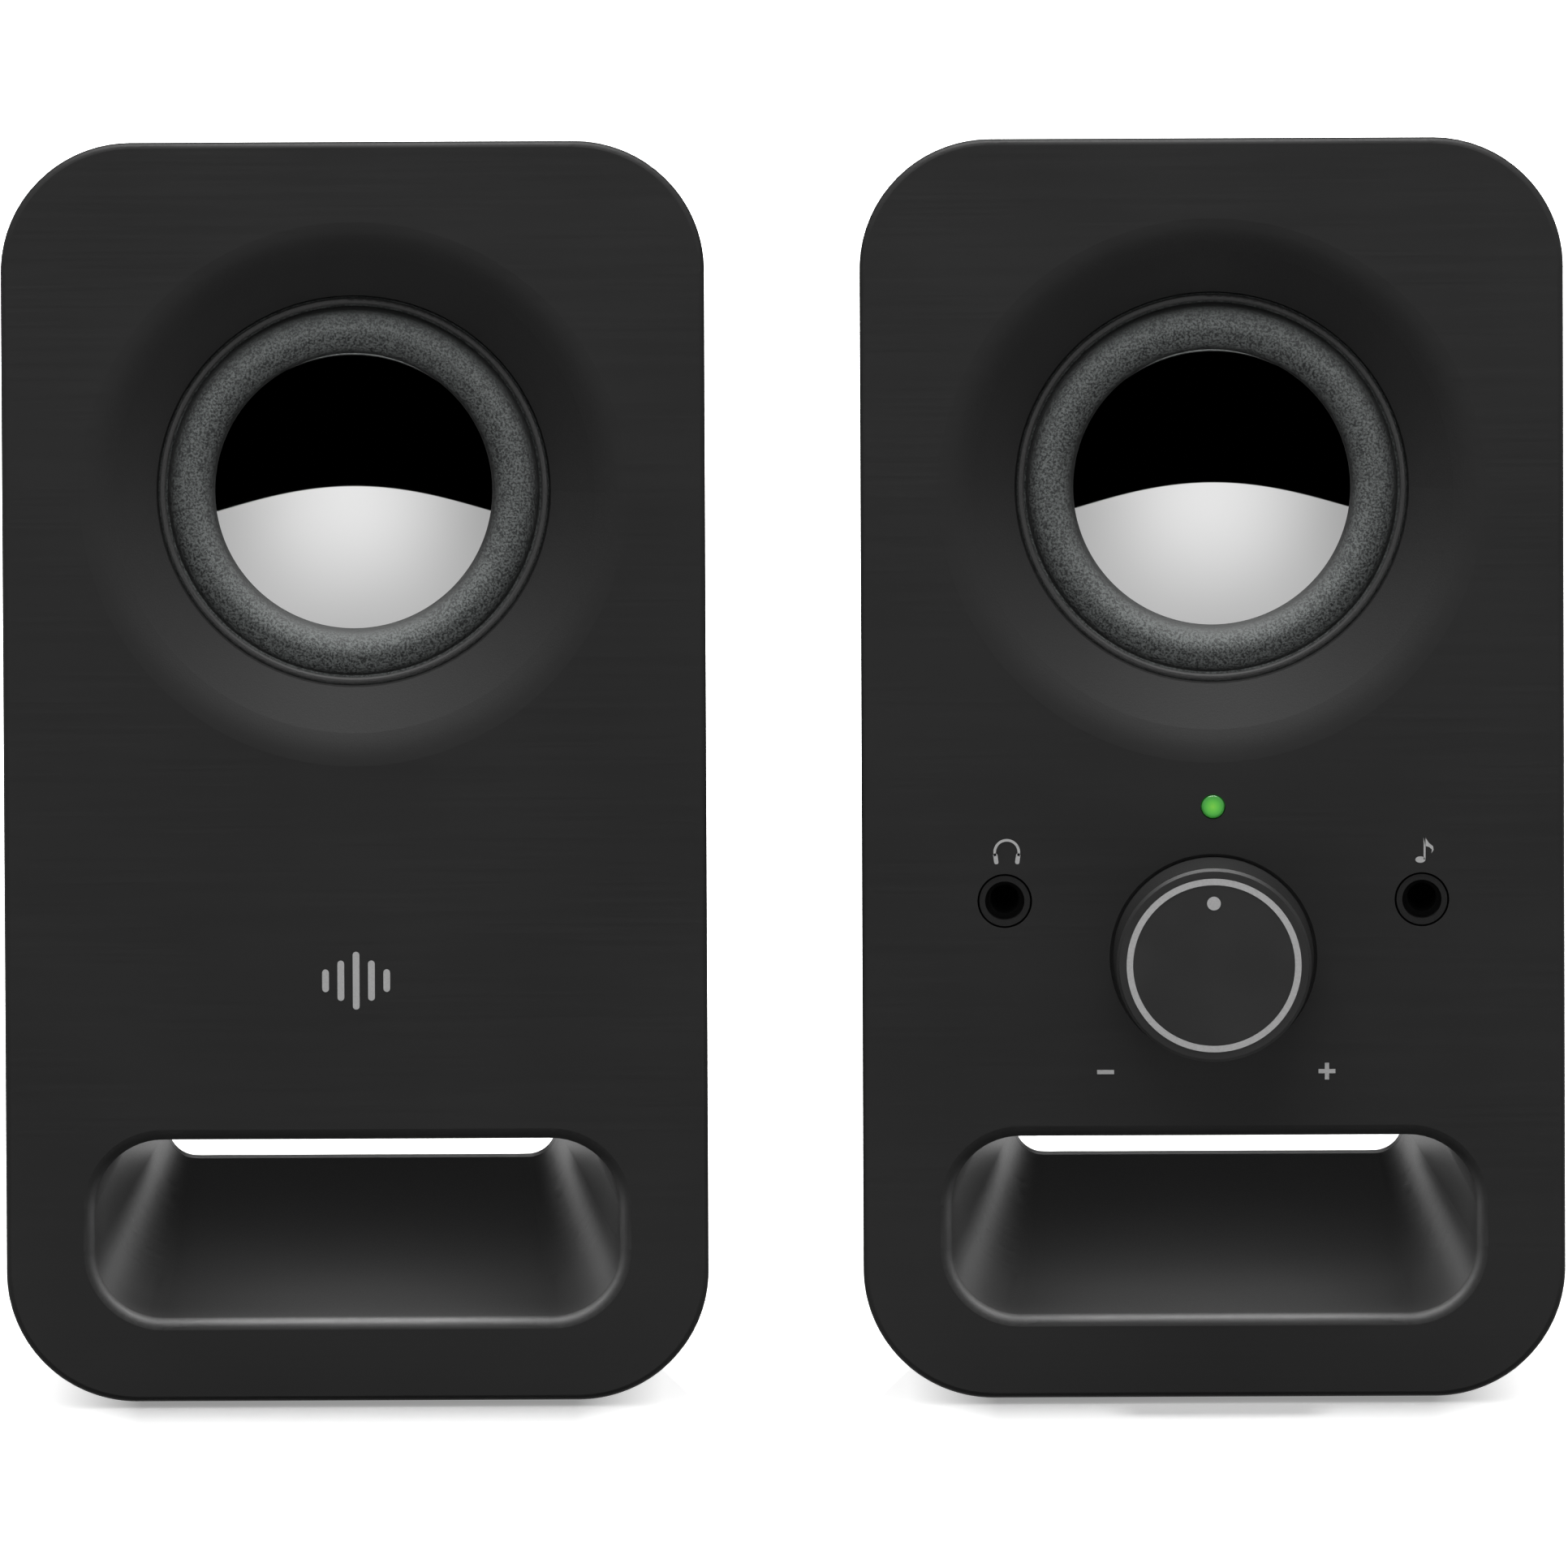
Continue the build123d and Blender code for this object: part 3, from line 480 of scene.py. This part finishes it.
def dish(side):
    """Polished dish turned finely enough for a clean mirror, on the voice coil's body."""
    node = f"{side}_driver_cone"
    low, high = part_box(node)
    centre = (low + high) / 2
    sag = high.y - DISH_SKIN - low.y
    ball = (DISH_R**2 + sag**2) / (2 * sag)
    front = []
    for k in range(DISH_RINGS + 1):
        radius = DISH_R * k / DISH_RINGS
        front.append((radius, low.y + sag - ball + math.sqrt(ball**2 - radius**2)))
    flange = (high.x - low.x) / 2
    flange_back = low.y + DISH_FLANGE
    rim = [(flange, low.y), (flange, flange_back), (DISH_R - DISH_FLANGE, flange_back)]
    back = [(radius, y + DISH_SKIN) for radius, y in reversed(front) if radius < DISH_R - DISH_BACK_EDGE]
    outline = front[1:] + rim + back[:-1]
    count = len(outline)
    vertices, faces = turned_mesh(outline, centre, DISH_STEPS, closed=False)
    for y, ring, order in ((front[0][1], 0, 1), (back[-1][1], count - 1, -1)):
        tip = len(vertices)
        vertices.append((centre.x, y, centre.z))
        for k in range(DISH_STEPS):
            a, b = k * count + ring, (k + 1) % DISH_STEPS * count + ring
            faces.append((tip, a, b)[::order])
    piece = add_piece(f"{side}_polished_dish", vertices, faces, "polished_dish", f"{side}_cone_assembly")
    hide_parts(node)
    return piece


# ---------------------------------------------------------------- printed symbols
INK = 0.03 * MM
SYMBOL_Z = JACK_Z + 6.1 * MM
SIGN_Z = KNOB.z - 14.35 * MM
GLYPH_Z = 53.5 * MM
GLYPH_PITCH = 1.9 * MM
GLYPH_HEIGHTS = (2.0 * MM, 4.2 * MM, 6.4 * MM, 4.2 * MM, 2.0 * MM)
GLYPH_R = 0.42 * MM


def ink(name, outlines, body):
    """Printed symbol: flat closed outlines in (x, z), raised by the ink's thickness from the face."""
    vertices, faces = [], []
    for outline in outlines:
        base = len(vertices)
        count = len(outline)
        front = FACE_Y - INK
        back = FACE_Y + INK
        vertices += [(x, front, z) for x, z in outline] + [(x, back, z) for x, z in outline]
        faces.append([base + i for i in range(count)])
        faces.append([base + count + i for i in reversed(range(count))])
        for i in range(count):
            j = (i + 1) % count
            faces.append([base + j, base + i, base + count + i, base + count + j])
    return add_piece(name, vertices, faces, "print_grey", body, smooth=False)


def bar(x, z, width, height):
    """Upright rectangle about a middle."""
    a, b = width / 2, height / 2
    return [(x - a, z - b), (x - a, z + b), (x + a, z + b), (x + a, z - b)]


def capsule(start, end, radius, steps=10):
    """Rounded stroke between two points."""
    (x0, z0), (x1, z1) = start, end
    heading = math.atan2(z1 - z0, x1 - x0)
    points = []
    for (x, z), turn in (((x1, z1), -math.pi / 2), ((x0, z0), math.pi / 2)):
        for k in range(steps + 1):
            angle = heading + turn + math.pi * k / steps
            points.append((x + radius * math.cos(angle), z + radius * math.sin(angle)))
    return points[::-1]


def band(centre, inner, outer, start, end, steps=28):
    """Stretch of a flat ring between two angles, counted from +X towards +Z."""
    x, z = centre
    angles = [start + (end - start) * k / steps for k in range(steps + 1)]
    far = [(x + outer * math.cos(a), z + outer * math.sin(a)) for a in angles]
    near = [(x + inner * math.cos(a), z + inner * math.sin(a)) for a in reversed(angles)]
    return (far + near)[::-1]


def headphone_symbol():
    """Head band over two tilted ear pads."""
    x, z = RIGHT_X - JACK_X + 0.27 * MM, SYMBOL_Z
    outer, inner = 1.66 * MM, 1.34 * MM
    centre = (x, z + 0.02 * MM)
    arch = band(centre, inner, outer, math.radians(-18), math.radians(198))
    pads = [
        capsule((x + s * 1.42 * MM, z - 0.38 * MM), (x + s * 1.30 * MM, z - 1.22 * MM), 0.27 * MM)
        for s in (-1, 1)
    ]
    return ink("headphone_symbol", [arch, *pads], "right_speaker")


def note_symbol():
    """Single music note: oval head, stem and curled flag."""
    x, z = RIGHT_X + JACK_X + 0.35 * MM, SYMBOL_Z
    head = [
        (x - 0.52 * MM + 0.62 * MM * math.cos(a), z - 1.12 * MM + 0.40 * MM * math.sin(a))
        for a in (-2 * math.pi * k / 24 for k in range(24))
    ]
    stem = bar(x, z + 0.25 * MM, 0.24 * MM, 2.7 * MM)
    flag = [
        (x + a * MM, z + b * MM)
        for a, b in (
            (-0.1, 1.6), (0.12, 1.6), (0.55, 0.95), (1.05, 0.55), (1.12, 0.1),
            (0.85, -0.35), (0.92, 0.12), (0.62, 0.42), (0.1, 0.6),
        )
    ]
    return ink("note_symbol", [head, stem, flag], "right_speaker")


def volume_symbols():
    """Minus and plus, below the knob at each side."""
    long, thin = 2.1 * MM, 0.53 * MM
    minus = bar(RIGHT_X - 13.45 * MM, SIGN_Z, long, thin)
    cross_x, half, arm = RIGHT_X + 14.05 * MM, thin / 2, long / 2
    plus = [
        (cross_x + a, SIGN_Z + b)
        for a, b in (
            (-arm, -half), (-arm, half), (-half, half), (-half, arm), (half, arm), (half, half),
            (arm, half), (arm, -half), (half, -half), (half, -arm), (-half, -arm), (-half, -half),
        )
    ]
    return ink("volume_symbols", [minus, plus], "right_speaker")


def level_glyph():
    """Generic sound-level bars, in place of any mark."""
    first = -(len(GLYPH_HEIGHTS) - 1) / 2
    bars = []
    for k, height in enumerate(GLYPH_HEIGHTS):
        x = LEFT_X + (first + k) * GLYPH_PITCH
        bars.append(capsule((x, GLYPH_Z - height / 2), (x, GLYPH_Z + height / 2), GLYPH_R))
    return ink("level_glyph", bars, "left_speaker")


# ---------------------------------------------------------------- stage
FLOOR_HALF = 20.0

# The world in front: directions are unit vectors, and its lower edge is black.
EDGE_HEIGHT = -0.100
EDGE_RISE = 0.14
EDGE_SOFTNESS = 0.004
BRIGHTEST_X = 0.03
SIDE_FALL = 0.5
HIGH_FALL = 0.42
FRONT_LEVEL = 0.87

# The world behind, where a white sweep ends in the dark, and where front turns into behind.
SWEEP_TOP = (0.12, 0.27)
BACK_LEVEL = 0.015
BACK_START = (0.02, 0.25)

# The floor's own glow, painted light which grows away from the feet and to either side of each, so that
# shadows show only close in front of the feet.
GLOW_NEAR = 0.28
GLOW_FAR = 1.3
GLOW_REACH = (0.20, 0.70)
GLOW_BESIDE = 0.6
GLOW_FOOT = (27 * MM, 38 * MM)

CAMERA_HEIGHT_ANGLE = 7.0
CAMERA_DISTANCE = 6.0
CAMERA_ROLL = 0.25
SENSOR_WIDTH = 36
FRAME_WIDTH = 194.66 * MM
AIM_Z = 77.88 * MM


def stage_floor():
    """White table, wide enough to fill every view."""
    mesh = bpy.data.meshes.new("floor")
    corners = [(x * FLOOR_HALF, y * FLOOR_HALF, 0) for x, y in ((-1, -1), (1, -1), (1, 1), (-1, 1))]
    mesh.from_pydata(corners, [], [(0, 1, 2, 3)])
    floor = bpy.data.objects.new("floor", mesh)
    bpy.context.scene.collection.objects.link(floor)
    mesh.materials.append(floor_material())
    floor.visible_glossy = False
    return floor


def floor_material():
    """White table with painted light: its glow is weakest by the feet, so the table lamp's shadow shows there,
    and grows further out and beside each speaker to wash other shadows away.
    """
    s = Shader("studio_floor")
    distance = s.add("ShaderNodeVectorMath", {0: s.place}, operation="LENGTH").outputs["Value"]
    speckle = s.noise(30, 2, 0.5)
    s.set(Base_Color=s.tones(speckle, 0.79, 0.81), Roughness=0.9)
    s.set(Specular_IOR_Level=0.0, Emission_Color=WHITE)
    # Painted light: extra glow to either side of each speaker, which washes out the lamp's shadow there.
    painted_light_beside = s.range(s.beside_middle(s.axes(s.place)["X"]), 0, GLOW_BESIDE, *GLOW_FOOT)
    far = s.range(distance, GLOW_NEAR, GLOW_FAR, *GLOW_REACH)
    s.set(Emission_Strength=s.math("ADD", far, painted_light_beside))
    return s.material


def area_light(name, location, target, size, power):
    """Rectangular lamp aimed at a target, not itself in the picture."""
    light = bpy.data.lights.new(name, "AREA")
    light.shape = "RECTANGLE"
    light.size, light.size_y = size
    light.energy = power
    lamp = bpy.data.objects.new(name, light)
    lamp.location = location
    lamp.rotation_euler = (Vector(target) - Vector(location)).to_track_quat("-Z", "Y").to_euler()
    lamp.visible_camera = False
    bpy.context.scene.collection.objects.link(lamp)
    return lamp


def group_of(name, objects, state):
    """Collection for light linking, with every object in it included or excluded."""
    group = bpy.data.collections.new(name)
    for thing in objects:
        group.objects.link(thing)
    for entry in group.collection_objects:
        entry.light_linking.link_state = state
    return group


def link_light(lamp, objects, state):
    """Keeps a lamp to some objects (INCLUDE) or off them (EXCLUDE)."""
    lamp.light_linking.receiver_collection = group_of(f"{lamp.name}_{state.lower()}", objects, state)


def studio_world():
    """Pale studio, brightest near eye level and black below it in front; a white sweep behind."""
    world = bpy.data.worlds.new("studio")
    world.use_nodes = True
    bpy.context.scene.world = world
    tree = world.node_tree

    def math_node(operation, a, b=0.0):
        node = tree.nodes.new("ShaderNodeMath")
        node.operation = operation
        for socket, value in zip(node.inputs, (a, b)):
            if isinstance(value, bpy.types.NodeSocket):
                tree.links.new(value, socket)
            else:
                socket.default_value = value
        return node.outputs[0]

    def ease(value, start, end):
        node = tree.nodes.new("ShaderNodeMapRange")
        node.interpolation_type = "SMOOTHSTEP"
        tree.links.new(value, node.inputs["Value"])
        node.inputs["From Min"].default_value = start
        node.inputs["From Max"].default_value = end
        return node.outputs["Result"]

    split = tree.nodes.new("ShaderNodeSeparateXYZ")
    tree.links.new(tree.nodes.new("ShaderNodeTexCoord").outputs["Generated"], split.inputs[0])
    x, y, z = split.outputs
    x_squared = math_node("MULTIPLY", x, x)
    z_squared = math_node("MULTIPLY", z, z)
    edge = math_node("SUBTRACT", z, math_node("MULTIPLY", x_squared, EDGE_RISE))
    lit = ease(edge, EDGE_HEIGHT - EDGE_SOFTNESS, EDGE_HEIGHT + EDGE_SOFTNESS)
    off_centre = math_node("SUBTRACT", x, BRIGHTEST_X)
    off_squared = math_node("MULTIPLY", off_centre, off_centre)
    side_fall = math_node("SUBTRACT", 1.0, math_node("MULTIPLY", off_squared, SIDE_FALL))
    high_fall = math_node("SUBTRACT", 1.0, math_node("MULTIPLY", z_squared, HIGH_FALL))
    front = math_node("MULTIPLY", math_node("MULTIPLY", side_fall, high_fall), lit)
    front = math_node("MULTIPLY", front, FRONT_LEVEL)
    sweep = math_node("SUBTRACT", 1.0, math_node("MULTIPLY", ease(z, *SWEEP_TOP), 1 - BACK_LEVEL))
    share = ease(y, *BACK_START)
    front = math_node("MULTIPLY", front, math_node("SUBTRACT", 1.0, share))
    behind = math_node("MULTIPLY", sweep, share)
    background = tree.nodes["Background"]
    tree.links.new(math_node("ADD", front, behind), background.inputs["Strength"])
    background.inputs["Color"].default_value = WHITE


def camera():
    data = bpy.data.cameras.new("camera")
    data.sensor_width = SENSOR_WIDTH
    data.lens = SENSOR_WIDTH * CAMERA_DISTANCE / FRAME_WIDTH
    data.clip_end = 100
    view = bpy.data.objects.new("camera", data)
    bpy.context.scene.collection.objects.link(view)
    angle = math.radians(CAMERA_HEIGHT_ANGLE)
    aim = Vector((0, FACE_Y, AIM_Z))
    view.location = aim + CAMERA_DISTANCE * Vector((0, -math.cos(angle), math.sin(angle)))
    view.rotation_euler = (math.pi / 2 - angle, 0, 0)
    view.rotation_euler.rotate_axis("Z", -math.radians(CAMERA_ROLL))
    bpy.context.scene.camera = view


def studio(dishes, surrounds):
    """Floor, world and lamps: some lamps are kept to some objects, as flags and screens do in a studio."""
    shells = [frame["nodes"][f"{side}_front_shell"] for side in SIDES]
    rings = [frame["nodes"][f"{side}_driver_trim_ring"] for side in SIDES]
    floor = stage_floor()
    studio_world()

    from_above = (0, FACE_Y, 0.08)
    key = area_light("key", (0, FACE_Y - 0.14, 0.80), from_above, size=(0.7, 0.12), power=11)
    link_light(key, [floor, *dishes], "EXCLUDE")
    key.light_linking.blocker_collection = group_of("key_passes", [*rings, *surrounds], "EXCLUDE")

    soft = area_light("surround_key", (0, FACE_Y - 0.06, 0.80), from_above, size=(0.7, 0.06), power=24)
    link_light(soft, surrounds, "INCLUDE")

    by_feet = (0, FACE_Y - 0.04, 0.003)
    bounce = area_light("bounce", by_feet, (0, FACE_Y, 0.008), size=(0.24, 0.01), power=0.004)
    link_light(bounce, shells, "INCLUDE")

    table = area_light("table", (0, 0.40, 4.0), (0, 0.40, 0), size=(0.3, 0.9), power=215)
    link_light(table, [floor], "INCLUDE")

    rim = area_light("rim", (0, 1.6, 1.6), (0, 0, 0.08), size=(1.6, 0.8), power=12)
    link_light(rim, [floor, *dishes, *shells], "EXCLUDE")

    for side, x, shell in zip(SIDES, (LEFT_X, RIGHT_X), shells):
        in_mouth = (x, FACE_Y + 1.2 * MM, 32.6 * MM)
        passage_floor = (x, FACE_Y + 30 * MM, 12 * MM)
        passage = area_light(f"{side}_passage", in_mouth, passage_floor, size=(0.042, 0.003), power=0.060)
        link_light(passage, [shell], "INCLUDE")


# ---------------------------------------------------------------- build
dress_frame()
for name in KNOB_NODES:
    frame["nodes"][name].visible_glossy = False
surrounds = [surround(side) for side in SIDES]
dishes = [dish(side) for side in SIDES]
headphone_symbol()
note_symbol()
volume_symbols()
level_glyph()
studio(dishes, surrounds)
camera()
bpy.context.scene.view_settings.view_transform = "Standard"
